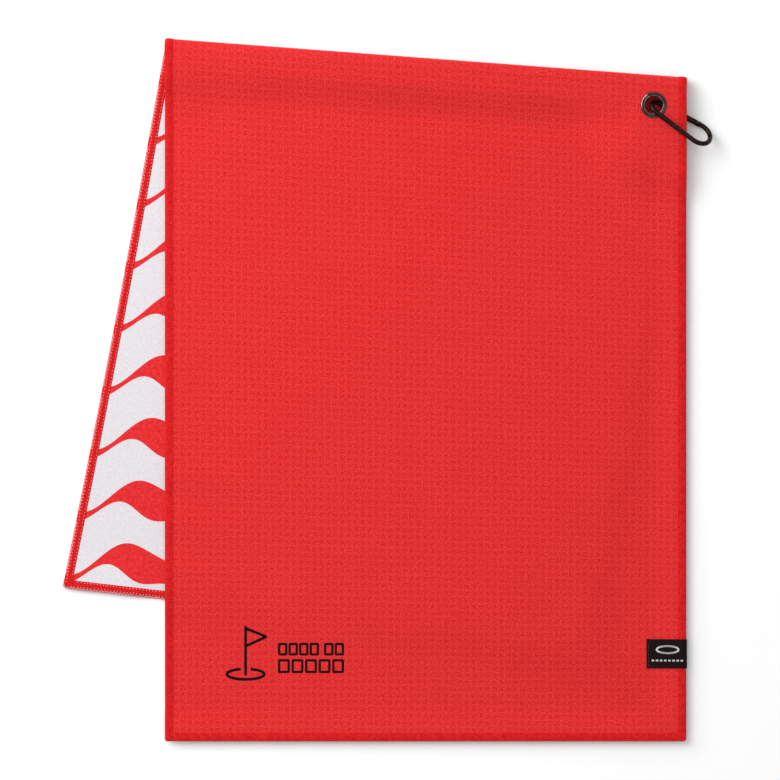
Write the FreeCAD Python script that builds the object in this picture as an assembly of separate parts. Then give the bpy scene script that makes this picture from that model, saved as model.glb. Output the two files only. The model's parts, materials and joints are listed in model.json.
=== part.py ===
import FreeCAD, Part
import math
import os

# A golf towel folded once across its length and laid flat, with a grommet beside the fold
# and a small spring-gate carabiner through it. Millimetres, +Z up. The shapes are drawn in
# the towel's own frame: X along the front panel's bottom edge, Y up its left edge, Z = 0 on
# the table. At the end they are shifted so that the origin is at the bottom centre of the
# whole object's box.

Vector = FreeCAD.Vector

# Towel outline, as folded
TOWEL_WIDTH = 381.0
FRONT_LEFT_LENGTH = 513.4    # front panel's left edge, from bottom corner to fold
BACK_LEFT_LENGTH = 408.2     # back panel's left edge, from fold to far corner
FOLD_SLOPE = 4.28            # degrees that the fold runs down towards the right
BACK_SHEAR = 2.0             # degrees that the cloth of the back panel is pulled askew

# Cloth and edge binding
CLOTH = 1.4
HEM_THICK = 2.2
HEM_WIDTH = 6.5
HEM_WRAP = 0.6               # binding stands out this far past the cloth's cut edge
LEFT_RISE = 48.0             # length of the front's left binding that rises to the fold
RIGHT_RISE = 90.0            # and of its right binding
FOLD_RADIUS = 5.2            # cloth's mid surface at the fold
FOLD_GAP = 0.15              # panels stop this short of the fold's axis plane
LAYER_GAP = 0.3              # air between the front layer's hems and the back layer's

# How the front panel comes down from the fold and off the back panel's edges
SURFACE_ROWS = 64            # the front panel's surface poles, up it
SURFACE_COLUMNS = 44         # and across it
SURFACE_DEGREE = 3
FLOOR_MID = 1.7              # mid surface where the front panel lies on the table
EDGE_DROP = 22.0             # length over which it comes down off the back panel's edge
FOLD_DROP_START = 17.0       # from the fold, where the panel starts to come down
FOLD_DROP_LENGTH = 36.0
CLIP_DROP_START = 58.0       # the same, near the right edge, where the carabiner holds it up
CLIP_SIDE = 42.0             # width beside the right edge that the carabiner holds up
CLIP_SIDE_BLEND = 40.0

# Grommet
GROMMET_FROM_RIGHT = 24.1
GROMMET_Y = 464.4
GROMMET_HOLE = 6.5           # radius of the open hole
GROMMET_BARREL = 7.0         # outer radius of the barrel
GROMMET_OUTER = 9.7          # outer radius of flange and washer
FLANGE_THICK = 0.6
FLANGE_EDGE = 0.25           # flange's height at its rim, where it rolls down
WASHER_THICK = 0.45
LIP_THICK = 0.35             # barrel's end, rolled out under the washer
LIP_OUTER = 8.2
BARREL_CLEARANCE = 0.05

# Label round the right edge
LABEL_LENGTH = 29.5
LABEL_HEIGHT = 21.2
LABEL_Y = 53.4
LABEL_THICK = 0.5
STITCH_LENGTH = 1.6
STITCH_PITCH = 2.5
STITCH_WIDTH = 0.4
STITCH_RISE = 0.15
STITCH_INSET = 1.4

# Carabiner, in its own plane: s along its length, w across it towards the gate
CLIP_LENGTH = 49.4           # between the wire's centres at the two ends
CLIP_WIRE = 1.8              # wire radius
NARROW_RADIUS = 5.0
WIDE_RADIUS = 9.3
NARROW_PAST_HOLE = 1.3       # narrow end's wire centre, past the middle of the hole
CLIP_YAW = -32.2
CLIP_ROLL = 45.0             # gate side down, under the front panel
CLIP_PITCH = 2.5             # wide end down
CLIP_BELOW_CLOTH = 0.1       # clip's axis at the hole, below the cloth's mid surface

# Gate and its rivets
GATE_RADIUS = 2.1
GATE_PIVOT_S = 13.4          # gate rivet's place along the carabiner
GATE_SPAN = 21.0             # between the gate's two rivets
END_GAP = 0.3                # from gate's round ends to body's shoulders
TONGUE_THICK = 1.4
TONGUE_RADIUS = 1.5
FORK_SLOT = 1.9
FORK_DEPTH = 0.35            # from the tongue's end to the bottom of the gate's slot
HINGE_PIN_RADIUS = 0.6
LATCH_PIN_RADIUS = 0.7
PIN_CLEARANCE = 0.05
NOTCH_CLEARANCE = 0.12
PIN_HALF_LENGTH = 2.0
BORE_RADIUS = 1.05
BORE_END = 11.0              # from the gate's rivet
PLUNGER_LENGTH = 2.2
PLUNGER_GAP = 0.05
SPRING_RADIUS = 0.72
SPRING_WIRE = 0.17
SPRING_TURNS = 8
SPRING_RUNS = 10             # straight runs in a turn
SPRING_SIDES = 8             # sides of the wire's section
RIGHT_CORNERS = 1            # runs meet with mitred corners

# Worked out from the values above
BACK_MID = HEM_THICK / 2
AXIS_HEIGHT = BACK_MID + FOLD_RADIUS
TOP_MID = BACK_MID + 2 * FOLD_RADIUS
REST_MID = HEM_THICK + LAYER_GAP + HEM_THICK / 2
SLOPE = math.radians(FOLD_SLOPE)
GROMMET_X = TOWEL_WIDTH - GROMMET_FROM_RIGHT


def axis_point(x):
    """Point of the fold's axis above x, set in from the fold's outer face."""
    inset = (FOLD_RADIUS + CLOTH / 2) / math.cos(SLOPE)
    return Vector(x, FRONT_LEFT_LENGTH - x * math.tan(SLOPE) - inset, 0)


def front_corners():
    return [Vector(0, 0, 0), Vector(TOWEL_WIDTH, 0, 0), axis_point(TOWEL_WIDTH), axis_point(0)]


def back_corners():
    """The back panel lies mirrored in the fold, a little askew."""
    side = 2 * SLOPE + math.radians(BACK_SHEAR)
    end = 2 * SLOPE - math.radians(BACK_SHEAR)
    fold_left = Vector(0, FRONT_LEFT_LENGTH, 0)
    end_left = fold_left - Vector(math.sin(side), math.cos(side), 0) * BACK_LEFT_LENGTH
    end_right = end_left + Vector(math.cos(end), -math.sin(end), 0) * TOWEL_WIDTH
    return [end_left, end_right, axis_point(TOWEL_WIDTH), axis_point(0)]


# Sides of a panel, in the order of its corners
END, RIGHT, FOLD, LEFT = range(4)


def side_line(corners, side, offset):
    """A side of the panel moved inwards by offset, as a point and a direction."""
    start = corners[side]
    along = (corners[(side + 1) % 4] - start).normalize()
    inwards = Vector(-along.y, along.x, 0)
    return start + inwards * offset, along


def crossing(line_a, line_b):
    (a, u), (b, v) = line_a, line_b
    t = ((b.x - a.x) * v.y - (b.y - a.y) * v.x) / (u.x * v.y - u.y * v.x)
    return a + u * t


def quad(lines):
    """Corners where four lines, in order round the shape, meet."""
    return [crossing(lines[i - 1], lines[i]) for i in range(4)]


def panel_quad(corners):
    """Outline of the cloth, inside the binding."""
    insets = {END: HEM_WRAP, RIGHT: HEM_WRAP, FOLD: FOLD_GAP, LEFT: HEM_WRAP}
    return quad([side_line(corners, side, insets[side]) for side in range(4)])


def strip_quad(corners, side, near=FOLD_GAP, far=None):
    """Outline of one side's binding, between two distances from the fold's axis.

    With no far it runs to the end's binding, and the end's runs the full width."""
    lines = [side_line(corners, i, 0) for i in range(4)]
    lines[(side + 2) % 4] = side_line(corners, side, HEM_WIDTH)
    if side == END:
        return quad(lines)
    lines[END] = side_line(corners, FOLD, far) if far else side_line(corners, END, HEM_WIDTH)
    lines[FOLD] = side_line(corners, FOLD, near)
    return quad(lines)


def prism(corners, low, high):
    points = [Vector(p.x, p.y, low) for p in corners]
    return Part.Face(Part.makePolygon(points + points[:1])).extrude(Vector(0, 0, high - low))


def smooth(value):
    t = min(1.0, max(0.0, value))
    return t * t * (3 - 2 * t)


def blend(low, high, share):
    return low + (high - low) * share


def distance_outside(corners, point, sides):
    """How far a point lies outside the panel, past the given sides."""
    past = 0.0
    for side in sides:
        start, along = side_line(corners, side, 0)
        past = max(past, along.y * (point.x - start.x) - along.x * (point.y - start.y))
    return past


def front_mid(x, y):
    """Height of the front panel's mid surface."""
    off_back = distance_outside(back_corners(), Vector(x, y, 0), (END, RIGHT))
    resting = blend(REST_MID, FLOOR_MID, smooth(off_back / EDGE_DROP))
    fold_distance = (FRONT_LEFT_LENGTH - x * math.tan(SLOPE) - y) * math.cos(SLOPE)
    from_clip = smooth((TOWEL_WIDTH - x - CLIP_SIDE) / CLIP_SIDE_BLEND)
    drop_start = blend(CLIP_DROP_START, FOLD_DROP_START, from_clip)
    return blend(TOP_MID, resting, smooth((fold_distance - drop_start) / FOLD_DROP_LENGTH))


def clamped_knots(poles):
    """Evenly spaced knots, and how often each counts, for a surface that meets its end poles."""
    count = poles - SURFACE_DEGREE + 1
    ends = [SURFACE_DEGREE + 1]
    return list(range(count)), ends + [1] * (count - 2) + ends


def front_surface():
    """Mid surface of the whole front panel, over straight edges in plan.

    The heights are the poles of a spline surface, which never overshoots them."""
    bottom_left, bottom_right, top_right, top_left = front_corners()
    rows = []
    for j in range(SURFACE_ROWS):
        up = j / (SURFACE_ROWS - 1)
        left = bottom_left + (top_left - bottom_left) * up
        right = bottom_right + (top_right - bottom_right) * up
        row = []
        for i in range(SURFACE_COLUMNS):
            p = left + (right - left) * (i / (SURFACE_COLUMNS - 1))
            row.append(Vector(p.x, p.y, front_mid(p.x, p.y)))
        rows.append(row)
    row_knots, row_counts = clamped_knots(SURFACE_ROWS)
    column_knots, column_counts = clamped_knots(SURFACE_COLUMNS)
    surface = Part.BSplineSurface()
    surface.buildFromPolesMultsKnots(
        rows,
        row_counts,
        column_counts,
        row_knots,
        column_knots,
        False,
        False,
        SURFACE_DEGREE,
        SURFACE_DEGREE,
    )
    return surface.toShape()


def layer(surface, thickness):
    """A layer of that thickness, centred on the surface."""
    lowered = surface.copy()
    lowered.translate(Vector(0, 0, -thickness / 2))
    return lowered.extrude(Vector(0, 0, thickness))


def one_solid(shape):
    """The largest solid of a boolean's result."""
    return max(shape.Solids, key=lambda solid: solid.Volume)


def front_cloth_and_hems():
    tall = 2 * TOP_MID
    corners = front_corners()
    surface = front_surface()
    cloth = layer(surface, CLOTH)
    binding = layer(surface, HEM_THICK)
    panel = one_solid(cloth.common(prism(panel_quad(corners), -tall, tall)))
    hole = Part.makeCylinder(
        GROMMET_BARREL + BARREL_CLEARANCE, tall, Vector(GROMMET_X, GROMMET_Y, 0)
    )
    nodes = {"front_panel": panel.cut(hole)}
    strips = {
        "front_bottom_hem": strip_quad(corners, END),
        "front_right_hem": strip_quad(corners, RIGHT, RIGHT_RISE),
        "front_right_hem_rise": strip_quad(corners, RIGHT, FOLD_GAP, RIGHT_RISE),
        "front_left_hem": strip_quad(corners, LEFT, LEFT_RISE),
        "front_left_hem_rise": strip_quad(corners, LEFT, FOLD_GAP, LEFT_RISE),
    }
    for name, outline in strips.items():
        strip = prism(outline, -tall, tall)
        nodes[name] = one_solid(binding.common(strip).cut(panel))
    return nodes


def back_cloth_and_hems():
    corners = back_corners()
    panel = prism(panel_quad(corners), BACK_MID - CLOTH / 2, BACK_MID + CLOTH / 2)
    nodes = {"back_panel": panel}
    for name, side in (("end", END), ("right", RIGHT), ("left", LEFT)):
        strip = prism(strip_quad(corners, side), 0, HEM_THICK)
        nodes["back_" + name + "_hem"] = strip.cut(panel)
    return nodes


def half_turn(start, end, thickness):
    """Cloth turned round the fold's axis, from start to end along it, measured from the left."""
    along = Vector(math.cos(SLOPE), -math.sin(SLOPE), 0)
    origin = axis_point(0) + Vector(0, 0, AXIS_HEIGHT)
    low, high = FOLD_RADIUS + thickness / 2, FOLD_RADIUS - thickness / 2
    section = [
        origin + along * start - Vector(0, 0, low),
        origin + along * end - Vector(0, 0, low),
        origin + along * end - Vector(0, 0, high),
        origin + along * start - Vector(0, 0, high),
    ]
    face = Part.Face(Part.makePolygon(section + section[:1]))
    return face.revolve(origin, along, 180)


def fold_cloth_and_hems():
    length = TOWEL_WIDTH / math.cos(SLOPE)
    bend = half_turn(HEM_WRAP, length - HEM_WRAP, CLOTH)
    left = half_turn(0, HEM_WIDTH, HEM_THICK)
    right = half_turn(length - HEM_WIDTH, length, HEM_THICK)
    return {
        "fold_bend": bend,
        "fold_left_hem": left.cut(bend),
        "fold_right_hem": right.cut(bend),
    }


def turned(points):
    """A solid of revolution about the grommet's axis, from (radius, height) points."""
    corners = [Vector(GROMMET_X + r, GROMMET_Y, z) for r, z in points]
    face = Part.Face(Part.makePolygon(corners + corners[:1]))
    return face.revolve(Vector(GROMMET_X, GROMMET_Y, 0), Vector(0, 0, 1), 360)


def grommet_flange():
    """Rounded flange on top, barrel through the cloth, and the lip rolled out underneath."""
    top = TOP_MID + CLOTH / 2
    under = TOP_MID - CLOTH / 2 - WASHER_THICK
    crest = (GROMMET_HOLE + GROMMET_OUTER) / 2
    arc = Part.Arc(
        Vector(GROMMET_X + GROMMET_HOLE, GROMMET_Y, top + FLANGE_EDGE),
        Vector(GROMMET_X + crest, GROMMET_Y, top + FLANGE_THICK),
        Vector(GROMMET_X + GROMMET_OUTER, GROMMET_Y, top + FLANGE_EDGE),
    ).toShape()
    rest = [
        (GROMMET_OUTER, top + FLANGE_EDGE),
        (GROMMET_OUTER, top),
        (GROMMET_BARREL, top),
        (GROMMET_BARREL, under),
        (LIP_OUTER, under),
        (LIP_OUTER, under - LIP_THICK / 2),
        (LIP_OUTER - LIP_THICK / 2, under - LIP_THICK),
        (GROMMET_HOLE, under - LIP_THICK),
        (GROMMET_HOLE, top + FLANGE_EDGE),
    ]
    outline = Part.makePolygon([Vector(GROMMET_X + r, GROMMET_Y, z) for r, z in rest])
    face = Part.Face(Part.Wire([arc] + outline.Edges))
    return face.revolve(Vector(GROMMET_X, GROMMET_Y, 0), Vector(0, 0, 1), 360)


def grommet_washer():
    top = TOP_MID - CLOTH / 2
    inner = GROMMET_BARREL + BARREL_CLEARANCE
    return turned(
        [
            (inner, top),
            (GROMMET_OUTER, top),
            (GROMMET_OUTER, top - WASHER_THICK),
            (inner, top - WASHER_THICK),
        ]
    )


def woven_label():
    """A tape folded round the edge: over the cloth, over the binding and back underneath."""
    edge = TOWEL_WIDTH
    inner = edge - HEM_WIDTH
    start = edge + LABEL_THICK - LABEL_LENGTH
    cloth, hem = CLOTH / 2, HEM_THICK / 2
    above = [(start, cloth), (inner, cloth), (inner, hem), (edge, hem)]
    outer = [
        (edge + LABEL_THICK, hem + LABEL_THICK),
        (inner - LABEL_THICK, hem + LABEL_THICK),
        (inner - 2 * LABEL_THICK, cloth + LABEL_THICK),
        (start, cloth + LABEL_THICK),
    ]
    profile = above + [(x, -z) for x, z in reversed(above)]
    profile += [(x, -z) for x, z in reversed(outer)] + outer
    corners = [Vector(x, LABEL_Y, FLOOR_MID + z) for x, z in profile]
    face = Part.Face(Part.makePolygon(corners + corners[:1]))
    return face.extrude(Vector(0, LABEL_HEIGHT, 0))


def label_stitching():
    """Rows of stitches along the label's three free sides, on its upper leaf."""
    height = FLOOR_MID + CLOTH / 2 + LABEL_THICK
    left = TOWEL_WIDTH + LABEL_THICK - LABEL_LENGTH + STITCH_INSET
    right = TOWEL_WIDTH - HEM_WIDTH - 2 * LABEL_THICK - STITCH_INSET
    low, high = LABEL_Y + STITCH_INSET, LABEL_Y + LABEL_HEIGHT - STITCH_INSET
    stitches = []
    x = left + STITCH_WIDTH
    while x + STITCH_LENGTH < right:
        for y in (low, high):
            corner = Vector(x, y - STITCH_WIDTH / 2, height)
            stitches.append(Part.makeBox(STITCH_LENGTH, STITCH_WIDTH, STITCH_RISE, corner))
        x += STITCH_PITCH
    y = low + STITCH_WIDTH
    while y + STITCH_LENGTH < high:
        corner = Vector(left - STITCH_WIDTH / 2, y, height)
        stitches.append(Part.makeBox(STITCH_WIDTH, STITCH_LENGTH, STITCH_RISE, corner))
        y += STITCH_PITCH
    return Part.makeCompound(stitches)


class ClipPlane:
    """The carabiner's centre line in its own plane, and the plane's place over the towel."""

    def __init__(self):
        self.narrow = Vector(NARROW_RADIUS - NARROW_PAST_HOLE, 0, 0)
        reach = CLIP_LENGTH - NARROW_RADIUS - WIDE_RADIUS
        self.wide = self.narrow + Vector(reach, 0, 0)
        self.splay = math.asin((WIDE_RADIUS - NARROW_RADIUS) / reach)
        self.gate_way = Vector(math.cos(self.splay), math.sin(self.splay), 0)
        self.outwards = Vector(-math.sin(self.splay), math.cos(self.splay), 0)
        gate_start = self.narrow + self.outwards * NARROW_RADIUS
        travel = (GATE_PIVOT_S - gate_start.x) / self.gate_way.x
        self.hinge = gate_start + self.gate_way * travel
        self.latch = self.hinge + self.gate_way * GATE_SPAN

    def placement(self):
        """Turns the plane over the towel: yaw, then pitch, then roll about its length."""
        yaw, roll, pitch = (math.radians(a) for a in (CLIP_YAW, CLIP_ROLL, CLIP_PITCH))
        level = Vector(math.cos(yaw), math.sin(yaw), 0)
        side = Vector(-math.sin(yaw), math.cos(yaw), 0)
        along = level * math.cos(pitch) - Vector(0, 0, math.sin(pitch))
        up = level * math.sin(pitch) + Vector(0, 0, math.cos(pitch))
        across = side * math.cos(roll) - up * math.sin(roll)
        normal = along.cross(across)
        matrix = FreeCAD.Matrix()
        matrix.A11, matrix.A12, matrix.A13, matrix.A14 = along.x, across.x, normal.x, GROMMET_X
        matrix.A21, matrix.A22, matrix.A23, matrix.A24 = along.y, across.y, normal.y, GROMMET_Y
        matrix.A31, matrix.A32, matrix.A33 = along.z, across.z, normal.z
        matrix.A34 = TOP_MID - CLIP_BELOW_CLOTH
        return FreeCAD.Placement(matrix)


def mirrored(vector):
    return Vector(vector.x, -vector.y, 0)


def gate_box(origin, plane, start, end, half_width, thickness, side=0.0):
    """A box along the gate's line, from start to end past origin. side shifts it inwards."""
    box = Part.makeBox(
        end - start, 2 * half_width, thickness, Vector(start, -half_width - side, -thickness / 2)
    )
    box.rotate(Vector(0, 0, 0), Vector(0, 0, 1), math.degrees(plane.splay))
    box.translate(origin)
    return box


def pin_shape(origin, radius, half_length):
    return Part.makeCylinder(radius, 2 * half_length, origin - Vector(0, 0, half_length))


def rod(start, end, radius):
    return Part.makeCylinder(radius, (end - start).Length, start, end - start)


def bend(start, way, centre, angle):
    """Wire turned anticlockwise in its plane by that angle, round the centre."""
    section = Part.Face(Part.Wire(Part.makeCircle(CLIP_WIRE, start, way)))
    return section.revolve(centre, Vector(0, 0, 1), angle)


def carabiner_body(plane):
    """Round wire bent into a long loop, with a flat tongue at each end of the gap."""
    shoulder = GATE_RADIUS + END_GAP
    start = plane.hinge - plane.gate_way * shoulder
    end = plane.latch + plane.gate_way * shoulder
    narrow_gate = plane.narrow + plane.outwards * NARROW_RADIUS
    wide_gate = plane.wide + plane.outwards * WIDE_RADIUS
    half_turn_angle = math.degrees(plane.splay) * 2
    wire = [
        rod(start, narrow_gate, CLIP_WIRE),
        bend(narrow_gate, plane.gate_way, plane.narrow, 180 - half_turn_angle),
        rod(mirrored(narrow_gate), mirrored(wide_gate), CLIP_WIRE),
        bend(mirrored(wide_gate), mirrored(plane.gate_way), plane.wide, 180 + half_turn_angle),
        rod(wide_gate, end, CLIP_WIRE),
    ]
    tongue = gate_box(plane.hinge, plane, -shoulder - CLIP_WIRE, 0, TONGUE_RADIUS, TONGUE_THICK)
    tongue = tongue.fuse(pin_shape(plane.hinge, TONGUE_RADIUS, TONGUE_THICK / 2))
    nose = gate_box(plane.latch, plane, 0, shoulder + CLIP_WIRE, TONGUE_RADIUS, TONGUE_THICK)
    nose = nose.fuse(pin_shape(plane.latch, TONGUE_RADIUS, TONGUE_THICK / 2))
    notch = LATCH_PIN_RADIUS + NOTCH_CLEARANCE
    nose = nose.cut(pin_shape(plane.latch, notch, TONGUE_THICK))
    nose = nose.cut(
        gate_box(plane.latch, plane, -notch, notch, TONGUE_RADIUS, FORK_SLOT, TONGUE_RADIUS)
    )
    body = wire[0].fuse(wire[1:] + [tongue, nose]).removeSplitter()
    return one_solid(body.cut(pin_shape(plane.hinge, HINGE_PIN_RADIUS, TONGUE_THICK)))


def carabiner_gate(plane):
    """Round sleeve with a forked, rounded end at each rivet, and a bore for the spring."""
    turn = FreeCAD.Placement(
        plane.hinge - plane.gate_way * GATE_RADIUS,
        FreeCAD.Rotation(Vector(0, 0, 1), plane.gate_way),
    )
    sleeve = Part.makeCylinder(GATE_RADIUS, GATE_SPAN + 2 * GATE_RADIUS)
    sleeve.Placement = turn
    rounding = gate_box(plane.hinge, plane, 0, GATE_SPAN, GATE_RADIUS, 2 * GATE_RADIUS)
    for rivet in (plane.hinge, plane.latch):
        rounding = rounding.fuse(pin_shape(rivet, GATE_RADIUS, GATE_RADIUS))
    gate = sleeve.common(rounding)
    depth = TONGUE_RADIUS + FORK_DEPTH
    open_end = 2 * GATE_RADIUS
    gate = gate.cut(gate_box(plane.hinge, plane, -open_end, depth, open_end, FORK_SLOT))
    gate = gate.cut(gate_box(plane.latch, plane, -depth, open_end, open_end, FORK_SLOT))
    gate = gate.cut(pin_shape(plane.hinge, HINGE_PIN_RADIUS + PIN_CLEARANCE, open_end))
    gate = gate.cut(pin_shape(plane.latch, LATCH_PIN_RADIUS, open_end))
    bore = Part.makeCylinder(BORE_RADIUS, BORE_END, plane.hinge, plane.gate_way)
    return one_solid(gate.cut(bore).removeSplitter())


def gate_plunger(plane):
    start = plane.hinge + plane.gate_way * (TONGUE_RADIUS + PLUNGER_GAP)
    radius = BORE_RADIUS - PIN_CLEARANCE
    return Part.makeCylinder(radius, PLUNGER_LENGTH, start, plane.gate_way)


def gate_spring(plane):
    """Coil spring between the plunger and the end of the bore, in short straight runs."""
    start = TONGUE_RADIUS + PLUNGER_GAP + PLUNGER_LENGTH + SPRING_WIRE
    height = BORE_END - SPRING_WIRE - start
    runs = SPRING_TURNS * SPRING_RUNS
    points = []
    for i in range(runs + 1):
        turn = 2 * math.pi * i / SPRING_RUNS
        across = Vector(math.cos(turn), math.sin(turn), 0) * SPRING_RADIUS
        points.append(across + Vector(0, 0, height * i / runs))
    corners = []
    for i in range(SPRING_SIDES):
        turn = 2 * math.pi * i / SPRING_SIDES
        corner = Vector(math.cos(turn), 0, math.sin(turn)) * SPRING_WIRE
        corners.append(points[0] + corner)
    section = Part.makePolygon(corners + corners[:1])
    coil = Part.makePolygon(points).makePipeShell([section], True, False, RIGHT_CORNERS)
    coil.Placement = FreeCAD.Placement(
        plane.hinge + plane.gate_way * start,
        FreeCAD.Rotation(Vector(0, 0, 1), plane.gate_way),
    )
    return coil


def carabiner_nodes():
    plane = ClipPlane()
    nodes = {
        "carabiner_body": carabiner_body(plane),
        "carabiner_gate": carabiner_gate(plane),
        "gate_hinge_pin": pin_shape(plane.hinge, HINGE_PIN_RADIUS, PIN_HALF_LENGTH),
        "gate_latch_pin": pin_shape(plane.latch, LATCH_PIN_RADIUS, PIN_HALF_LENGTH),
        "gate_spring": gate_spring(plane),
        "gate_plunger": gate_plunger(plane),
    }
    place = plane.placement()
    for shape in nodes.values():
        shape.Placement = place.multiply(shape.Placement)
    return nodes


def build():
    nodes = {}
    nodes.update(front_cloth_and_hems())
    nodes.update(fold_cloth_and_hems())
    nodes.update(back_cloth_and_hems())
    nodes["grommet_flange"] = grommet_flange()
    nodes["grommet_washer"] = grommet_washer()
    nodes["woven_label"] = woven_label()
    nodes["label_stitching"] = label_stitching()
    nodes.update(carabiner_nodes())
    return nodes


def shift_to_origin(nodes):
    """Moves everything so that the origin is at the bottom centre of the whole box."""
    box = FreeCAD.BoundBox()
    for shape in nodes.values():
        box.add(shape.optimalBoundingBox())
    shift = Vector(-(box.XMin + box.XMax) / 2, -(box.YMin + box.YMax) / 2, -box.ZMin)
    for shape in nodes.values():
        shape.translate(shift)
    return shift


def print_joints(shift):
    """The joints' places, in metres, in the shifted frame."""
    plane = ClipPlane()
    place = plane.placement()
    points = {
        "fold_hinge": axis_point(0) + Vector(0, 0, AXIS_HEIGHT),
        "clip_swing": Vector(GROMMET_X, GROMMET_Y, TOP_MID),
        "gate_pivot": place.multVec(plane.hinge),
        "gate_latch": place.multVec(plane.latch),
        "wide_end": place.multVec(plane.wide),
    }
    for name, point in points.items():
        print(name, [round(c / 1000, 6) for c in point + shift])
    opening = plane.gate_way.cross(plane.outwards * -1)
    axis = place.Rotation.multVec(opening)
    print("gate axis", [round(c, 6) for c in axis])
    print("fold axis", [round(-math.cos(SLOPE), 6), round(math.sin(SLOPE), 6), 0])


def main():
    os.makedirs("parts", exist_ok=True)
    nodes = build()
    shift = shift_to_origin(nodes)
    for name, shape in nodes.items():
        shape.exportStep(os.path.join("parts", name + ".step"))
        print(name, len(shape.Solids), "valid", shape.isValid(), "mm3", round(shape.Volume, 2))
    print_joints(shift)


main()
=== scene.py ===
import json
import math

import bmesh
import bpy
import numpy as np
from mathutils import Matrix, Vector, noise
from mathutils.bvhtree import BVHTree

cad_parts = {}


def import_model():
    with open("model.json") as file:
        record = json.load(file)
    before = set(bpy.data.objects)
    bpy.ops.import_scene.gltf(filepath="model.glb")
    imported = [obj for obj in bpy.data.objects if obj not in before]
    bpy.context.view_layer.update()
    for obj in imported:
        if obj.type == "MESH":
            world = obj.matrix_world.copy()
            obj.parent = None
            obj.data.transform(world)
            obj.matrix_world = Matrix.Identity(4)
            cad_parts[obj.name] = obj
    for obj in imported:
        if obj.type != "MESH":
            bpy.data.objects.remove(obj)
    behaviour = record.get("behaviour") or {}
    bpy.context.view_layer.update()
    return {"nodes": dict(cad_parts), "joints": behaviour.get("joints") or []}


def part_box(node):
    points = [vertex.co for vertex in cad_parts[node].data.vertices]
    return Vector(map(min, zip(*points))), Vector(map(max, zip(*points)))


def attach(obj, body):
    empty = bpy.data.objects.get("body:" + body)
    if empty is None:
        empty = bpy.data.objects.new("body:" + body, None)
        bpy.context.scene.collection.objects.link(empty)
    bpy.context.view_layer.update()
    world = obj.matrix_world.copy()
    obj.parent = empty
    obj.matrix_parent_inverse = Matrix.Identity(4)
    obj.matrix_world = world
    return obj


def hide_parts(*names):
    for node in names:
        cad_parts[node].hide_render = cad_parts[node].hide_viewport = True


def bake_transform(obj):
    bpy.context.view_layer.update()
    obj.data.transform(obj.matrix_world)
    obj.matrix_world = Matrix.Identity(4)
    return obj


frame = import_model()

# A golf towel folded once and laid flat on a white table, seen from straight above, with a
# grommet and a small carabiner beside the fold. Metres, in the frame's axes. Side A is the
# cloth's plain red waffle face, and side B the white reverse with red wavy bands.

SEED = 20
MM = 0.001

# Waffle weave: cells across the towel, and along its front, round its fold and along its back
CELLS_ACROSS = 75
CELLS_FRONT, CELLS_BEND, CELLS_BACK = 98, 3, 80
CELL_STEPS = 3  # mesh steps in a cell on side A, and in a step of side B everywhere
BEND_STEPS = 8  # mesh steps in a cell round the fold, on side A
WAFFLE_DEPTH = 0.16 * MM
WAFFLE_UNEVEN = 0.5  # share by which one cell's depth differs from another's
RIPPLE = 0.2 * MM  # how far the cloth lies unevenly
RIPPLE_SIZE = 95 * MM
RIPPLE_STRETCH = 1.6  # how much shorter a ripple is along the towel than across
EDGE_LIFT = 2.8 * MM  # how far the front's right and lower edges stand off the table
LIFT_WIDTH = 27 * MM
LIFT_BELOW_GROMMET = 25 * MM
LIFT_FADE = 18 * MM
END_LIFT = 1.8 * MM  # the same, at the back's end to the left of the front
END_LIFT_WIDTH = 35 * MM
END_LIFT_CLEAR, END_LIFT_FADE = 6 * MM, 20 * MM
BACK_BOW = 1.5 * MM  # how far the back's left edge curves in between its ends
PRESS = 4.5 * MM  # how much of the front's fall from the fold is pressed steeper
PRESS_START, PRESS_LENGTH = 12 * MM, 27 * MM  # where it falls, below the fold's axis
FALL_START, FALL_LENGTH = 17 * MM, 36 * MM  # and where it would fall unpressed
PRESS_FADE_LEFT, PRESS_FADE_RIGHT = 120 * MM, 16 * MM
PUCKER = 1.1 * MM  # height of the small puckers along the left binding
PUCKER_SIZE, PUCKER_REACH = 22 * MM, 35 * MM
PUCKER_LEVEL = 0.2  # more makes the puckers wider and leaves less flat between them
FOLD_SQUARENESS = 2.8  # 2 is a round fold, more is one pressed flatter
HEIGHT_SMOOTHING = 3  # mesh steps
SHARP_ANGLE = math.radians(50)
CELL_WOBBLE = 0.34  # how far the weave's lines stray, in cells
YARN_TURNS = 4  # twists of the yarn along a rib, in a cell

# Red bands on side B, across the towel
WAVE_PITCH = 46.5 * MM
WAVE_LENGTH = 100 * MM
BAND_SOFT = 0.25 * MM
# A band's two edges: mean distance from the back's end, then the swing and the first crest of
# one wave and of half a wave
BAND_TOP = (24.6 * MM, [(12.8 * MM, 48.1 * MM), (2.8 * MM, 31.7 * MM)])
BAND_FOOT = (10.7 * MM, [(6.0 * MM, 36.4 * MM), (4.4 * MM, 26.8 * MM)])

# Edge binding: half of its section, as (distance in from the edge, height over mid cloth)
BINDING_SECTION = [(d * MM, h * MM) for d, h in [
    (6.5, 0.55), (6.35, 0.74), (5.6, 0.82), (4.6, 0.94), (3.7, 1.06), (3.2, 1.1),
    (2.5, 1.07), (1.7, 0.98), (1.0, 0.82), (0.5, 0.6), (0.15, 0.32), (0.0, 0.0),
]]
BINDING_WRAP = 0.6 * MM  # the binding stands out this far past the cut cloth
CORNER_RADIUS = 1.9 * MM
CORNER_STEPS = 6
STITCH_PITCH = 2.4 * MM
STITCH_STEPS = 4  # mesh steps along the binding in a stitch
LOOP_RELIEF = 0.16 * MM  # overlock loops on the edge
THREAD_RELIEF = 0.05 * MM  # threads lying across the binding
THREAD_PITCH = 0.6 * MM
LOOP_DEPTH = 0.8 * MM  # how far in from the edge the loops die away
PALE_ROWS = (1.9 * MM, 5.3 * MM)  # rows of stitches on side B's binding
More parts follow.
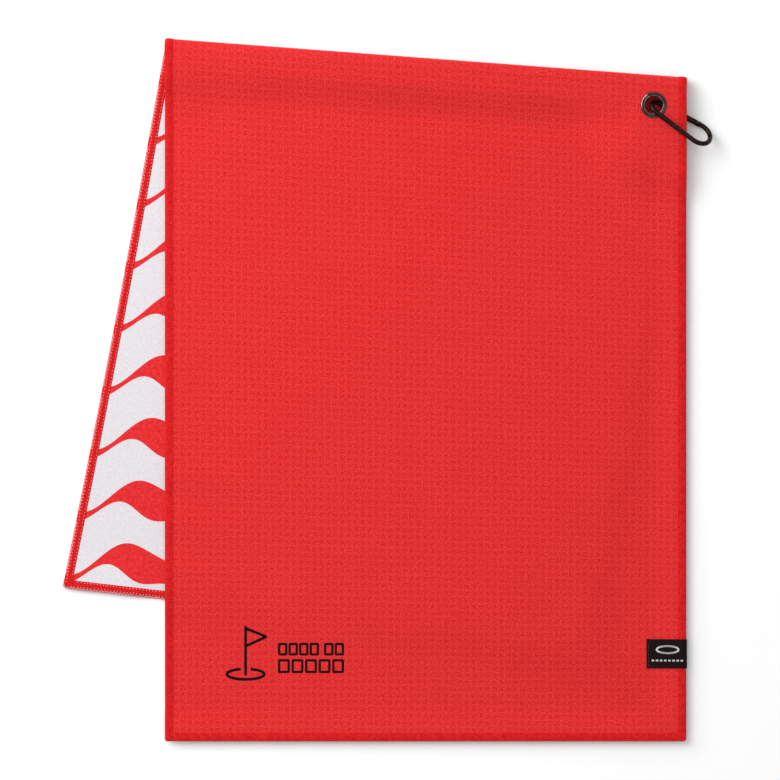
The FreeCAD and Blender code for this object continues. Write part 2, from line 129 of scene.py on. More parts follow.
RED_ROWS = (0.9 * MM, 6.1 * MM)  # and on side A's
ROW_WANDER = 0.12 * MM  # how far a stitch strays from its row
STITCH_LEAN, LEAN_SPREAD = 0.15, 0.15
PITCH_LEAST, PITCH_MOST = 0.92, 1.08
STITCH_SUNK = 0.05 * MM
FOLD_STEPS = 40  # mesh steps of a binding round the fold

# A stitch: sides round it, its length, width and rise, and its swell at shares of its length
THREAD_SIDES = 6
HEM_STITCH = (0.8 * MM, 0.5 * MM, 0.26 * MM)
MARK_STITCH = (1.5 * MM, 0.5 * MM, 0.16 * MM)
LABEL_STITCH = (1.1 * MM, 0.5 * MM, 0.25 * MM)
STITCH_SWELL = [(-0.5, 0.25), (-0.3, 0.85), (0.0, 1.0), (0.3, 0.85), (0.5, 0.25)]

# Printing on the front, from its bottom left corner
FLAG_X, FLAG_Y = 59 * MM, 46 * MM  # foot of the flag's pole
FLAG_HEIGHT = 38 * MM
# Shares of the flag's height: the pole's foot, the flag's two ends on the pole, its point, and
# the hole's middle and half sizes
POLE_FOOT, FLAG_TOP, FLAG_LOW = 0.06, 0.96, 0.62
FLAG_TIP = (0.40, 0.80)
HOLE_UP, HOLE_SIZE = 0.08, (0.36, 0.10)
HOLE_FROM, HOLE_TO = 105, 435  # the hole's rim, in degrees, with a gap behind the pole
ELLIPSE_STEPS = 40
PRINT_STROKE = 2.0 * MM
PRINT_RISE = 0.09 * MM
PRINT_STEP = 0.7 * MM
BOX_STROKE = 1.7 * MM
BOXES_X = 83.5 * MM
# Rows of plain boxes beside the flag, in mm: foot, height and width of a box, and how far
# along the row each one starts
BOX_ROWS = [
    (63.5, 7.6, 5.2, [0.0, 7.7, 15.4, 23.1, 33.7, 41.4]),
    (50.7, 8.4, 7.0, [0.0, 9.9, 19.8, 29.7, 39.6]),
]

# Eyelet's section: (radius, height over the flange's crest)
EYELET_SECTION = [
    (9.7, -0.6), (9.66, -0.52), (9.2, -0.3), (8.7, -0.07), (8.45, 0.0), (8.2, -0.04),
    (7.95, -0.18), (7.7, -0.25), (7.45, -0.2), (7.25, -0.1), (7.0, -0.08), (6.75, -0.2),
    (6.6, -0.4), (6.5, -0.75), (6.5, -2.55), (6.65, -2.75), (6.9, -2.8), (8.0, -2.8),
    (8.2, -2.65), (8.2, -2.45), (7.0, -2.45), (7.0, -0.6),
]
EYELET_SIDES = 120
EYELET_RUBBED_AND_HIGHLIT = (2, 9, 10)  # stretches of the section where the plating is rubbed bright, also painting highlight rings on the rims
HOLE_SHARE, RIM_SHARE = 0.76, 0.84  # of the washer's radius: cloth cut away, and its new edge

# Label, with its mark: a ring over a row of dashes
LABEL_TAPE = 0.45 * MM
LABEL_RIBS = 0.42 * MM
LABEL_GAP = 0.05 * MM  # between the tape and the cloth
LABEL_EDGE_GAP = 0.03 * MM
LABEL_BEND = 7.2 * MM  # where the tape meets the binding, from the edge
LABEL_PUFF, LABEL_PUFF_FADE = 0.12 * MM, 18
LABEL_STATIONS = 30
MARK_X = 15.4 * MM  # middle of the ring, from the tape's inner end
RING_UP, RING_SIZE = 3.0 * MM, (8.0 * MM, 2.6 * MM)
RING_STITCHES = 72
DASHES, DASH_PITCH, DASH_LENGTH = 8, 3.0 * MM, 1.8 * MM
DASHES_LEFT, DASHES_DOWN = 11.4 * MM, 5.0 * MM
DASH_STITCHES = 4

# Camera, floor and light
CAMERA_LENS, CAMERA_SENSOR = 250.0, 36.0
VIEW_WIDTH = 570.4 * MM
VIEW_CENTRE = Vector((1.94 * MM, -0.2 * MM, 0))
FLOOR_HALF = 4.0
FLOOR_GAP = 0.05 * MM
SKY_STRENGTH = 0.555
# Lamps: azimuth anticlockwise from +X and elevation, in degrees, then distance, size and power
LAMPS = {
    "key": (142, 36, 2.0, 1.9, 40.0),
    "glint": (135, 38, 2.0, 0.3, 2.5),
    "top": (90, 80, 2.4, 1.6, 7.4),
}


# ---- frame and mesh helpers

def farthest(node, x, y):
    """Plan position of a CAD node's vertex that lies farthest in direction (x, y)."""
    places = [vertex.co for vertex in frame["nodes"][node].data.vertices]
    best = max(places, key=lambda place: place.x * x + place.y * y)
    return np.array([best.x, best.y, 0.0])


def in_scene(name, data):
    obj = bpy.data.objects.new(name, data)
    bpy.context.scene.collection.objects.link(obj)
    return obj


def new_object(name, vertices, faces, materials, sharp=SHARP_ANGLE):
    mesh = bpy.data.meshes.new(name)
    mesh.from_pydata([tuple(v) for v in vertices], [], faces)
    for material in materials:
        mesh.materials.append(material)
    mesh.shade_smooth()
    mesh.set_sharp_from_angle(angle=sharp)
    return in_scene(name, mesh)


def store(obj, name, vectors):
    """Keeps a vector at each vertex for the materials to read."""
    stored = obj.data.attributes.new(name, "FLOAT_VECTOR", "POINT")
    stored.data.foreach_set("vector", vectors.astype(np.float32).ravel())


def ring_faces(rings, sides, closed=False):
    """Quads between rings of points, the last ring joined to the first if closed."""
    faces = []
    for n in range(rings if closed else rings - 1):
        m = (n + 1) % rings
        for k in range(sides):
            j = (k + 1) % sides
            faces.append((n * sides + k, n * sides + j, m * sides + j, m * sides + k))
    return faces


def tube_faces(rings, sides):
    """The same, with a cap over the first ring and the last."""
    last = (rings - 1) * sides
    caps = [list(range(sides)), [last + k for k in range(sides)]]
    return ring_faces(rings, sides) + caps


def cleaned(obj, merge=0.0):
    """Merges double vertices and turns every face outwards."""
    work = bmesh.new()
    work.from_mesh(obj.data)
    if merge:
        bmesh.ops.remove_doubles(work, verts=work.verts, dist=merge)
    bmesh.ops.recalc_face_normals(work, faces=work.faces)
    work.to_mesh(obj.data)
    work.free()
    return obj


def eased(share):
    """0 to 1 with no kink at either end."""
    share = np.clip(share, 0, 1)
    return share ** 2 * (3 - 2 * share)


def height_over(obj):
    """Gives the height of an object's upper face above any plan point, or nan off it."""
    mesh = obj.data
    tree = BVHTree.FromPolygons([v.co for v in mesh.vertices],
                                [list(p.vertices) for p in mesh.polygons])

    def height(x, y):
        hit = tree.ray_cast(Vector((x, y, 1.0)), Vector((0, 0, -1)))[0]
        return hit.z if hit else math.nan

    return height


def rides(obj, body, slot, *nodes):
    """Puts a finished piece on its body, in place of its CAD nodes."""
    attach(obj, body)
    if nodes:
        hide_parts(*nodes)


# ---- node helpers

def add(tree, kind, settings=None, inputs=None):
    node = tree.nodes.new("ShaderNode" + kind)
    for name, value in (settings or {}).items():
        setattr(node, name, value)
    for name, value in (inputs or {}).items():
        if isinstance(value, bpy.types.NodeSocket):
            tree.links.new(value, node.inputs[name])
        else:
            node.inputs[name].default_value = value
    return node


def calc(tree, operation, *values):
    return add(tree, "Math", {"operation": operation}, dict(enumerate(values))).outputs[0]


def wave(tree, value, length):
    """A sine wave of that length, from -1 to 1."""
    return calc(tree, "SINE", calc(tree, "MULTIPLY", value, 2 * math.pi / length))


def between(tree, value, low, high, start=0.0, end=1.0):
    """value from low to high, as start to end, smoothly and clamped."""
    settings = {"interpolation_type": "SMOOTHSTEP"}
    inputs = {"Value": value, 1: low, 2: high, 3: start, 4: end}
    return add(tree, "MapRange", settings, inputs).outputs[0]


def mixed(tree, share, a, b):
    return add(tree, "Mix", {"data_type": "RGBA"}, {0: share, 6: a, 7: b}).outputs[2]


def speckle(tree, vector, scale, detail=2.0, roughness=0.5):
    inputs = {"Vector": vector, "Scale": scale, "Detail": detail, "Roughness": roughness}
    return add(tree, "TexNoise", None, inputs).outputs[0]


def attribute(tree, name):
    return add(tree, "Attribute", {"attribute_name": name}).outputs["Vector"]


def object_place(tree):
    return add(tree, "TexCoord").outputs["Object"]


def axes(tree, vector):
    return add(tree, "SeparateXYZ", None, {0: vector}).outputs


def bumped(tree, height, distance):
    return add(tree, "Bump", None, {"Height": height, "Distance": distance}).outputs[0]


def shader(name, **values):
    """A new material, its node tree and its Principled shader, with the constant values set."""
    material = bpy.data.materials.new(name)
    material.use_nodes = True
    tree = material.node_tree
    principled = tree.nodes["Principled BSDF"]
    for socket, value in values.items():
        principled.inputs[socket.replace("_", " ")].default_value = value
    return material, tree, principled


def connect(tree, principled, **sockets):
    for name, value in sockets.items():
        tree.links.new(value, principled.inputs[name.replace("_", " ")])


# ---- cloth materials

def waffle(tree, weave):
    """The ribs round each cell, 0 to 1, and the cloth's height with its threads and pile."""
    x, y, _ = axes(tree, weave)
    stray = calc(tree, "SUBTRACT", speckle(tree, weave, 1.1), 0.5)
    wobble = calc(tree, "MULTIPLY", stray, CELL_WOBBLE)
    ribs = []
    for along, across in ((x, y), (y, x)):
        turned = calc(tree, "MULTIPLY", calc(tree, "ADD", along, wobble), math.pi)
        rib = calc(tree, "POWER", calc(tree, "ABSOLUTE", calc(tree, "COSINE", turned)), 3.0)
        twist = calc(tree, "MULTIPLY_ADD", wave(tree, across, 1 / YARN_TURNS), 0.12, 0.88)
        ribs.append(calc(tree, "MULTIPLY", rib, twist))
    pile = speckle(tree, weave, 9.0, 3.0, 0.6)
    ridge = calc(tree, "MAXIMUM", *ribs)
    return ridge, calc(tree, "MULTIPLY_ADD", pile, 0.7, calc(tree, "MULTIPLY", ridge, 0.33))


def cloth_finish(name):
    return shader(name, Roughness=0.95, Specular_IOR_Level=0.1, Sheen_Weight=0.08,
                  Sheen_Roughness=0.5, Sheen_Tint=(1.0, 0.6, 0.6, 1))


def red_cloth():
    """Side A: dyed microfibre, unevenly toned, with painted shade in the cells between the ribs."""
    material, tree, principled = cloth_finish("red_waffle_cloth")
    weave = attribute(tree, "weave")
    ridge, height = waffle(tree, weave)
    grain = speckle(tree, weave, 4.5, 3.0, 0.65)
    # Ribs painted lighter and cells darker: painted shade in the waffle's hollows, mixed with the
    # random grain.
    share = calc(tree, "MULTIPLY_ADD", ridge, 0.08, calc(tree, "MULTIPLY", grain, 0.92))
    tone = mixed(tree, between(tree, share, 0.3, 0.7),
                 (0.57, 0.004, 0.006, 1), (0.75, 0.047, 0.047, 1))
    broad = between(tree, speckle(tree, weave, 0.16), 0.35, 0.65, 0.0, 0.12)
    tone = mixed(tree, broad, tone, (0.59, 0.016, 0.019, 1))
    connect(tree, principled, Base_Color=tone, Normal=bumped(tree, height, 0.16 * MM))
    return material


def wavy_line(tree, across, mean, swings):
    """A wavy line's height above places across the towel."""
    line = mean
    for number, (swing, crest) in enumerate(swings, 1):
        turn = calc(tree, "MULTIPLY", calc(tree, "SUBTRACT", across, crest),
                    2 * math.pi * number / WAVE_LENGTH)
        line = calc(tree, "MULTIPLY_ADD", calc(tree, "COSINE", turn), swing, line)
    return line


def wave_bands(tree, weave):
    """1 inside the red bands of side B, from places in cells across and along the towel."""
    x, y, _ = axes(tree, weave)
    across = calc(tree, "MULTIPLY", x, (RIGHT_X - LEFT_X) / CELLS_ACROSS)
    cell = float(np.linalg.norm(BACK_CORNERS[3] - BACK_CORNERS[0])) / CELLS_BACK
    cells = CELLS_FRONT + CELLS_BEND + CELLS_BACK
    from_end = calc(tree, "MULTIPLY_ADD", y, -cell, cells * cell)
    top = wavy_line(tree, across, *BAND_TOP)
    foot = wavy_line(tree, across, *BAND_FOOT)
    half = calc(tree, "MULTIPLY", calc(tree, "SUBTRACT", top, foot), 0.5)
    above_foot = calc(tree, "SUBTRACT", from_end, foot)
    place = calc(tree, "ADD", calc(tree, "SUBTRACT", above_foot, half), WAVE_PITCH / 2)
    place = calc(tree, "FLOORED_MODULO", place, WAVE_PITCH)
    off_centre = calc(tree, "ABSOLUTE", calc(tree, "SUBTRACT", place, WAVE_PITCH / 2))
    return between(tree, calc(tree, "SUBTRACT", half, off_centre), -BAND_SOFT, BAND_SOFT)


def printed_cloth():
    """Side B: white microfibre printed with red bands."""
    material, tree, principled = cloth_finish("white_cloth_with_red_waves")
    weave = attribute(tree, "weave")
    white = mixed(tree, between(tree, speckle(tree, weave, 2.6, 3.0, 0.6), 0.35, 0.7),
                  (0.64, 0.61, 0.64, 1), (0.71, 0.68, 0.70, 1))
    red = mixed(tree, between(tree, speckle(tree, weave, 2.1, 3.0, 0.6), 0.3, 0.7),
                (0.62, 0.014, 0.018, 1), (0.73, 0.036, 0.038, 1))
    tone = mixed(tree, wave_bands(tree, weave), white, red)
    _, height = waffle(tree, weave)
    connect(tree, principled, Base_Color=tone, Normal=bumped(tree, height, 0.1 * MM))
    return material


def binding_cloth():
    """Overlock thread laid side by side across the edge, a deeper red than the towel."""
    material, tree, principled = shader("red_binding", Roughness=0.85, Specular_IOR_Level=0.08)
    place = object_place(tree)
    run, _, _ = axes(tree, attribute(tree, "run"))
    threads = wave(tree, run, THREAD_PITCH)
    rough = speckle(tree, place, 900.0, 3.0, 0.6)
    height = calc(tree, "MULTIPLY_ADD", threads, 0.25, rough)
    tone = mixed(tree, between(tree, speckle(tree, place, 420.0), 0.3, 0.7),
                 (0.54, 0.008, 0.010, 1), (0.66, 0.015, 0.016, 1))
    # Darker once a stitch: painted shade between the overlock loops.
    painted_loop_shade = between(tree, wave(tree, run, STITCH_PITCH), 0.0, 1.0, 0.0, 0.14)
    tone = mixed(tree, painted_loop_shade, tone, (0.40, 0.005, 0.007, 1))
    connect(tree, principled, Base_Color=tone, Normal=bumped(tree, height, 0.08 * MM))
    return material


def thread(name, dark, light):
    """Spun thread, slightly fuzzy."""
    material, tree, principled = shader(name, Roughness=0.75, Sheen_Weight=0.2)
    place = object_place(tree)
    fuzz = speckle(tree, place, 2500.0)
    tone = mixed(tree, fuzz, dark, light)
    connect(tree, principled, Base_Color=tone, Normal=bumped(tree, fuzz, 0.05 * MM))
    return material


def ink():
    """Black ink soaked into the cloth, darker on the low places of its grain: painted shade."""
    material, tree, principled = shader("black_ink", Roughness=0.8, Specular_IOR_Level=0.05)
    place = object_place(tree)
    grain = speckle(tree, place, 1400.0, 3.0, 0.6)
    tone = mixed(tree, between(tree, grain, 0.35, 0.75),
                 (0.003, 0.002, 0.002, 1), (0.014, 0.007, 0.007, 1))
    connect(tree, principled, Base_Color=tone, Normal=bumped(tree, grain, 0.06 * MM))
    return material


def tape():
    """Black damask tape: fine ribs across its length, with a soft satin gloss."""
    material, tree, principled = shader("black_label_tape", Specular_IOR_Level=0.05)
    place = object_place(tree)
    x, y, _ = axes(tree, place)
    weft, warp = wave(tree, y, LABEL_RIBS), wave(tree, x, 0.7 * LABEL_RIBS)
    fibre = speckle(tree, place, 2200.0)
    height = calc(tree, "MULTIPLY_ADD", warp, 0.2, calc(tree, "MULTIPLY_ADD", weft, 0.35, fibre))
    # Lighter on the raised ribs and darker between them: painted shade in the grooves.
    tone = mixed(tree, between(tree, height, -0.2, 1.0),
                 (0.004, 0.002, 0.002, 1), (0.014, 0.007, 0.006, 1))
    rough = between(tree, fibre, 0.3, 0.7, 0.5, 0.7)
    connect(tree, principled, Base_Color=tone, Roughness=rough,
            Normal=bumped(tree, height, 0.05 * MM))
    return material


# ---- metal materials

def metal(name, dark, light, low_rough, high_rough, grain_size):
    """Plated or bare metal with faint handling marks and brighter rubbed places."""
    material, tree, principled = shader(name, Metallic=1.0)
    place = object_place(tree)
    marks = speckle(tree, place, 1.0 / grain_size, 4.0, 0.65)
    rubbed = between(tree, speckle(tree, place, 0.2 / grain_size), 0.45, 0.7)
    tone = mixed(tree, rubbed, dark, light)
    rough = between(tree, marks, 0.3, 0.7, low_rough, high_rough)
    connect(tree, principled, Base_Color=tone, Roughness=rough,
            Normal=bumped(tree, marks, 0.01 * MM))
    return material


def metals():
    """Materials for the CAD nodes that stay, by node."""
    nickel = metal("black_nickel_plate", (0.034, 0.022, 0.020, 1), (0.060, 0.042, 0.038, 1),
                   0.08, 0.16, 0.5 * MM)
    clip = metal("black_clip_coating", (0.026, 0.014, 0.012, 1), (0.046, 0.027, 0.023, 1),
                 0.14, 0.26, 0.4 * MM)
    rivet = metal("rivet_steel", (0.16, 0.15, 0.15, 1), (0.30, 0.29, 0.28, 1), 0.25, 0.4, 0.3 * MM)
    spring = metal("spring_wire", (0.35, 0.34, 0.33, 1), (0.5, 0.49, 0.48, 1), 0.2, 0.35, 0.2 * MM)
    return {
        "grommet_washer": nickel,
        "carabiner_body": clip,
        "carabiner_gate": clip,
        "gate_hinge_pin": rivet,
        "gate_latch_pin": rivet,
        "gate_spring": spring,
        "gate_plunger": rivet,
    }


# ---- the towel's shape

LEFT_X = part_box("front_bottom_hem")[0].x
RIGHT_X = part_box("front_bottom_hem")[1].x
BOTTOM_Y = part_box("front_bottom_hem")[0].y
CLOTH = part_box("back_panel")[1].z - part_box("back_panel")[0].z
BACK_MID = (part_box("back_panel")[1].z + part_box("back_panel")[0].z) / 2
FOLD = next(joint for joint in frame["joints"] if joint["name"] == "fold_hinge")
FOLD_POINT = np.array(FOLD["pos_m"])
FOLD_ALONG = -np.array(FOLD["axis"])
FOLD_OUT = np.array([-FOLD_ALONG[1], FOLD_ALONG[0], 0.0])
FOLD_RADIUS = FOLD_POINT[2] - BACK_MID
UP = np.array([0.0, 0.0, 1.0])


def unit(vector):
    return vector / np.linalg.norm(vector)


def inward(start, end):
    """To the left of a run in plan, which is inwards for a run anticlockwise."""
    along = unit(end - start)
    return np.array([-along[1], along[0], 0.0])


def fold_at(x):
    """Point of the fold's axis above x, at height 0."""
    point = FOLD_POINT + FOLD_ALONG * (x - FOLD_POINT[0]) / FOLD_ALONG[0]
    return np.array([point[0], point[1], 0.0])


FRONT_CORNERS = [
    np.array([LEFT_X, BOTTOM_Y, 0.0]),
    np.array([RIGHT_X, BOTTOM_Y, 0.0]),
    fold_at(RIGHT_X),
    fold_at(LEFT_X),
]
BACK_CORNERS = [
    farthest("back_end_hem", -1.0, -0.3),
    farthest("back_end_hem", 0.3, -1.0),
    fold_at(RIGHT_X),
    fold_at(LEFT_X),
]


def patch(corners, u, v):
    """Points between four corners: u from left to right, v from the free end to the fold."""
    a, b, c, d = corners
    u, v = u[..., None], v[..., None]
    near = a + (b - a) * u
    return near + (d + (c - d) * u - near) * v


def smoothed(heights):
    """Rounds off the facets of heights that were read from a faceted surface."""
    reach = 3 * HEIGHT_SMOOTHING
    weights = np.exp(-0.5 * (np.arange(-reach, reach + 1) / HEIGHT_SMOOTHING) ** 2)
    weights /= weights.sum()
    for axis in (0, 1):
        pad = [(reach, reach) if k == axis else (0, 0) for k in (0, 1)]
        padded = np.pad(heights, pad, mode="reflect", reflect_type="odd")
        heights = np.apply_along_axis(np.convolve, axis, padded, weights, mode="valid")
    return heights


def ripple(points):
    """How far the cloth lies above its even shape, 0 at the fold."""
    heights = np.zeros(points.shape[:2])
    for index in np.ndindex(heights.shape):
        x, y, _ = points[index] / RIPPLE_SIZE
        heights[index] = noise.noise(Vector((x, y * RIPPLE_STRETCH, 0.3)))
    from_fold = (fold_at(0.0)[1] - points[..., 1]) / RIPPLE_SIZE
    return RIPPLE * (heights + 0.5) * np.clip(from_fold, 0, 1)


def edge_lift(points):
    """How far the cloth stands up towards its right and lower edges, below the grommet."""
    from_right = (RIGHT_X - points[..., 0]) / LIFT_WIDTH
    from_end = (points[..., 1] - BOTTOM_Y) / LIFT_WIDTH
    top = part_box("grommet_flange")[0].y - LIFT_BELOW_GROMMET
    below = (top - points[..., 1]) / LIFT_FADE
    return EDGE_LIFT * eased(1 - np.minimum(from_right, from_end)) * eased(below)


def fold_press(points):
    """Steepens the front's fall from the fold, between the left side and the grommet."""
    x, y = points[..., 0], points[..., 1]
    below = FRONT_CORNERS[3][1] + (x - LEFT_X) * FOLD_ALONG[1] / FOLD_ALONG[0] - y
    steeper = eased((below - PRESS_START) / PRESS_LENGTH)
    steeper = steeper - eased((below - FALL_START) / FALL_LENGTH)
    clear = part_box("grommet_flange")[0].x - x
    fade = eased((x - LEFT_X) / PRESS_FADE_LEFT) * eased(clear / PRESS_FADE_RIGHT)
    return -PRESS * steeper * fade


def puckers(points):
    """Small ridges across the left side, where the binding's thread draws the edge in."""
    along = points[:, 0, 1] / PUCKER_SIZE
    swell = np.array([PUCKER_LEVEL + noise.noise(Vector((0.4, y, 0.7))) for y in along])
    from_left = (points[..., 0] - LEFT_X) / PUCKER_REACH
    return PUCKER * np.maximum(0.0, swell)[:, None] * np.exp(-from_left)


def back_height(x, y):
    """Mid height of the back: flat, but for its end to the left of the front."""
    start, end = BACK_CORNERS[:2]
    within = inward(start, end)
    from_end = (x - start[0]) * within[0] + (y - start[1]) * within[1]
    clear = (LEFT_X - END_LIFT_CLEAR - x) / END_LIFT_FADE
    return BACK_MID + END_LIFT * eased(1 - from_end / END_LIFT_WIDTH) * eased(clear)


class FrontSurface:
    """Mid surface of the front panel, read from the CAD panel's upper face."""

    def __init__(self):
        rows, columns = CELLS_FRONT * CELL_STEPS + 1, CELLS_ACROSS * CELL_STEPS + 1
        u, v = np.meshgrid(np.linspace(0, 1, columns), np.linspace(0, 1, rows))
        points = patch(FRONT_CORNERS, u, v)
        top_of = height_over(frame["nodes"]["front_panel"])
        low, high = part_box("front_panel")
        inset = 2 * BINDING_WRAP
        heights = np.zeros(u.shape)
        for j, i in np.ndindex(u.shape):
            x = min(max(points[j, i, 0], low.x + inset), high.x - inset)
            y = min(max(points[j, i, 1], low.y + inset), fold_at(x)[1] - inset)
            heights[j, i] = top_of(x, y) - CLOTH / 2
        self.heights = (smoothed(self.filled(heights)) + ripple(points) + edge_lift(points)
                        + fold_press(points) + puckers(points))

    @staticmethod
    def filled(heights):
        """The grommet's hole takes the height beside it."""
        for row in heights:
            empty = np.isnan(row)
            if empty.any():
                row[empty] = np.interp(np.flatnonzero(empty), np.flatnonzero(~empty), row[~empty])
        return heights

    def at(self, x, y):
        """Mid height above plan points, between the grid's heights."""
        rows, columns = self.heights.shape
        u = np.clip((x - LEFT_X) / (RIGHT_X - LEFT_X), 0, 1)
        top = FRONT_CORNERS[3][1] + (FRONT_CORNERS[2][1] - FRONT_CORNERS[3][1]) * u
        v = np.clip((y - BOTTOM_Y) / (top - BOTTOM_Y), 0, 1)
        i, j = u * (columns - 1), v * (rows - 1)
        i0 = np.minimum(i.astype(int), columns - 2)
        j0 = np.minimum(j.astype(int), rows - 2)
        i, j = i - i0, j - j0
        h = self.heights
        low = h[j0, i0] * (1 - i) + h[j0, i0 + 1] * i
        high = h[j0 + 1, i0] * (1 - i) + h[j0 + 1, i0 + 1] * i
        return low * (1 - j) + high * j


def waffle_relief(rows, columns, row_steps, seed):
    """Height of side A's ribs and cells over the cloth's face, flat along the cut edges."""
    random = np.random.default_rng(seed)
    j, i = np.meshgrid(np.arange(rows), np.arange(columns), indexing="ij")
    cell = random.uniform(1 - WAFFLE_UNEVEN, 1, (rows // row_steps + 2, columns // CELL_STEPS + 2))
    depth = cell[j // row_steps, i // CELL_STEPS]
    rib_x = np.abs(np.cos(math.pi * i / CELL_STEPS)) ** 2
    rib_y = np.abs(np.cos(math.pi * j / row_steps)) ** 2
    return -WAFFLE_DEPTH * depth * (1 - np.maximum(rib_x, rib_y))


def closed_sheet(name, outer, inner, weave, materials):
    """A closed cloth mesh: side A on the full grid, side B with one step to CELL_STEPS of it."""
    rows, columns = outer.shape[:2]
    coarse = inner[::CELL_STEPS, ::CELL_STEPS]
    low_columns = coarse.shape[1]
    vertices = np.concatenate([outer.reshape(-1, 3), coarse.reshape(-1, 3)])
    woven = np.concatenate([weave.reshape(-1, 3),
                            weave[::CELL_STEPS, ::CELL_STEPS].reshape(-1, 3)])

    def a(j, i):
        return j * columns + i

    def b(j, i):
        return rows * columns + (j // CELL_STEPS) * low_columns + i // CELL_STEPS

    faces = [(a(j, i), a(j, i + 1), a(j + 1, i + 1), a(j + 1, i))
             for j in range(rows - 1) for i in range(columns - 1)]
    side_a = len(faces)
    step = CELL_STEPS
    faces += [(b(j, i), b(j + step, i), b(j + step, i + step), b(j, i + step))
              for j in range(0, rows - 1, step) for i in range(0, columns - 1, step)]
    side_b = len(faces)
    for i in range(0, columns - 1, step):
        for j in (0, rows - 1):
            faces.append([a(j, i + k) for k in range(step + 1)] + [b(j, i + step), b(j, i)])
    for j in range(0, rows - 1, step):
        for i in (0, columns - 1):
            faces.append([a(j + k, i) for k in range(step + 1)] + [b(j + step, i), b(j, i)])
    obj = new_object(name, vertices, faces, materials)
    sides = np.zeros(len(faces), np.int32)
    sides[side_a:side_b] = 1
    obj.data.polygons.foreach_set("material_index", sides)
    store(obj, "weave", woven)
    return cleaned(obj)


def cloth_grid(cells, steps, first_row):
    """u, v and the place in cells of each point of a cloth grid."""
    rows, columns = cells * steps + 1, CELLS_ACROSS * CELL_STEPS + 1
    j, i = np.meshgrid(np.arange(rows), np.arange(columns), indexing="ij")
    inset = BINDING_WRAP / (RIGHT_X - LEFT_X)
    u = inset + (1 - 2 * inset) * i / (columns - 1)
    weave = np.stack([i / CELL_STEPS, first_row + j / steps, np.zeros(i.shape)], axis=-1)
    return u, j / (rows - 1), weave


def panel_cloth(name, corners, height_at, cells, first_row, side, seed, materials):
    """A panel's closed cloth. side is 1 with side A upwards, and -1 with it downwards."""
    u, v, weave = cloth_grid(cells, CELL_STEPS, first_row)
    if side < 0:
        v = 1 - v
    inset = BINDING_WRAP / np.linalg.norm(corners[3] - corners[0])
    mid = patch(corners, u, inset * (1 - v) + v)
    mid[..., 2] = height_at(mid[..., 0], mid[..., 1])
    relief = waffle_relief(*u.shape, CELL_STEPS, seed)[..., None]
    outer = mid + UP * side * (CLOTH / 2 + relief)
    inner = mid - UP * side * CLOTH / 2
    return closed_sheet(name, outer, inner, weave, materials)


def front_cloth(surface, materials):
    obj = panel_cloth("front_cloth", FRONT_CORNERS, surface.at, CELLS_FRONT, 0, 1, SEED,
                      materials)
    cut_grommet_hole(obj)
    rides(obj, "front", "towel_cloth", "front_panel")
    return obj


def bow(obj):
    """Curves a back piece's left side inwards between the fold and the free end."""
    left_end, right_end, _, left_fold = BACK_CORNERS
    for vertex in obj.data.vertices:
        v = min(max((vertex.co.y - left_end[1]) / (left_fold[1] - left_end[1]), 0.0), 1.0)
        left = left_end[0] + (left_fold[0] - left_end[0]) * v
        u = min(max((vertex.co.x - left) / (right_end[0] - left_end[0]), 0.0), 1.0)
        vertex.co.x += BACK_BOW * math.sin(math.pi * v) * (1 - u)


def cut_grommet_hole(obj):
    """Opens the cloth under the grommet's flange and washer, and closes the cut's edge."""
    low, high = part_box("grommet_washer")
    centre = (low + high) / 2
    outer = (high.x - low.x) / 2
    hole, edge = HOLE_SHARE * outer, RIM_SHARE * outer
    work = bmesh.new()
    work.from_mesh(obj.data)
    inside = [v for v in work.verts if (v.co - centre).xy.length < hole]
    bmesh.ops.delete(work, geom=inside, context="VERTS")
    rim = [e for e in work.edges if e.is_boundary]
    for vertex in {v for e in rim for v in e.verts}:
        vertex.co.xy = centre.xy + (vertex.co - centre).xy.normalized() * edge
    bmesh.ops.bridge_loops(work, edges=rim)
    bmesh.ops.recalc_face_normals(work, faces=work.faces)
    work.to_mesh(obj.data)
    work.free()


def back_cloth(materials):
    obj = panel_cloth("back_cloth", BACK_CORNERS, back_height, CELLS_BACK,
                      CELLS_FRONT + CELLS_BEND, -1, SEED + 1, materials)
    bow(obj)
    rides(obj, "back", "towel_cloth", "back_panel")


def round_fold(turn):
    """Mid cloth round the fold from its axis, and the face's outward direction, by turn."""
    up, out = np.cos(turn), np.abs(np.sin(turn))
    sign, up = np.sign(up), np.abs(up)
    near = 2 / FOLD_SQUARENESS
    place = (UP * sign * up ** near + FOLD_OUT * out ** near) * FOLD_RADIUS
    normal = UP * sign * up ** (2 - near) + FOLD_OUT * out ** (2 - near)
    return place, normal / np.linalg.norm(normal, axis=-1, keepdims=True)


def fold_cloth(materials):
    u, v, weave = cloth_grid(CELLS_BEND, BEND_STEPS, CELLS_FRONT)
    place, outwards = round_fold(math.pi * v[..., None])
    axis = patch([fold_at(LEFT_X), fold_at(RIGHT_X)] * 2, u, np.zeros(u.shape))
    axis[..., 2] = FOLD_POINT[2]
    relief = waffle_relief(*u.shape, BEND_STEPS, SEED + 2)[..., None]
    outer = axis + place + outwards * (CLOTH / 2 + relief)
    inner = axis + place - outwards * CLOTH / 2
    obj = closed_sheet("fold_cloth", outer, inner, weave, materials)
    blend_round_fold(obj, "fold_bend")


def blend_round_fold(obj, *nodes):
    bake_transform(obj)
    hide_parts(*nodes)


# ---- edge binding

